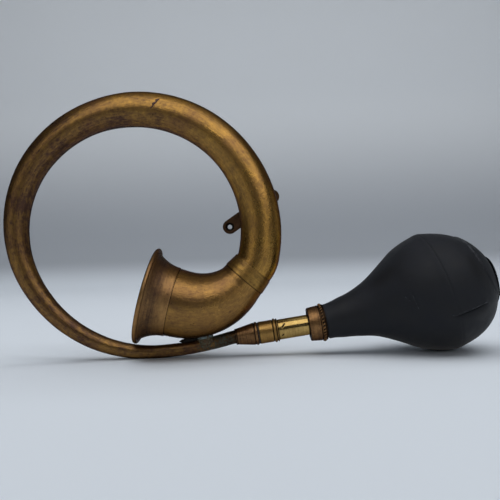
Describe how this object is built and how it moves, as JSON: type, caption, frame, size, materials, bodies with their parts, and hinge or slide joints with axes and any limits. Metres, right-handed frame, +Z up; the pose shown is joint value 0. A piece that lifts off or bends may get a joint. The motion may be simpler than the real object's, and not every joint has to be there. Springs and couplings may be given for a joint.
{
  "type": "bulb horn",
  "caption": "Coiled brass bulb horn: a tapering tube wound in one turn into a flared bell, a reed fitting, a squeezable rubber bulb and a bolt-on bracket.",
  "frame": {"origin": "midway between the two bracket holes, on the back face of the bracket strap", "axes": "+X from the coil towards the bulb, +Y out of the bracket's back face, +Z up"},
  "size_m": [0.4284, 0.103, 0.2347],
  "materials": {
    "horn_brass": "antique brown, half polished",
    "copper_brass": "reddish brown, worn",
    "turned_brass": "turned, lightly tarnished",
    "polished_brass": "bright",
    "bracket_brass": "dark brown patina",
    "old_solder": "grey with green corrosion",
    "iron_wire": "plain",
    "reed_brass": "plain",
    "leather": "dark, oiled",
    "cork": "plain",
    "bulb_rubber": "matt black"
  },
  "bodies": {
    "horn": {"coil_tube": "horn_brass", "joint_band": "horn_brass", "bell_bend": "horn_brass", "bell_flare": "horn_brass", "rim_wire": "iron_wire", "pipe_bridge": "old_solder", "bracket_strap": "bracket_brass", "bracket_saddle": "old_solder", "pipe_ferrule": "copper_brass", "union_washer": "leather"},
    "reed_unit": {"socket_sleeve": "turned_brass", "reed_tube": "polished_brass", "reed_plug": "reed_brass", "reed_cork": "cork", "reed_clamp": "reed_brass", "reed_screws": "iron_wire"},
    "tongue": {"reed_tongue": "reed_brass"},
    "bulb": {"bulb_collar": "copper_brass", "rubber_bulb": "bulb_rubber"},
    "bulb_tail": {"tail_patch": "bulb_rubber"}
  },
  "joints": [
    {"name": "union_turn", "type": "hinge", "parent": "horn", "child": "reed_unit", "pos_m": [-0.00671, -0.02086, -0.10801], "axis": [0.9903, 0, 0.1392], "continuous": true},
    {"name": "reed_flex", "type": "hinge", "parent": "reed_unit", "child": "tongue", "pos_m": [0.02238, -0.02086, -0.10594], "axis": [0, 1, 0], "range_deg": [-2, 1.5], "stiffness_Nm_per_rad": 0.004, "deforming": ["reed_tongue"]},
    {"name": "bulb_slide", "type": "slide", "parent": "reed_unit", "child": "bulb", "axis": [0.9903, 0, 0.1392], "range_m": [-0.026, 0.018]},
    {"name": "bulb_squeeze", "type": "slide", "parent": "bulb", "child": "bulb_tail", "axis": [-0.9759, 0, -0.2181], "range_m": [0, 0.04], "stiffness_N_per_m": 400, "deforming": ["rubber_bulb"]}
  ]
}
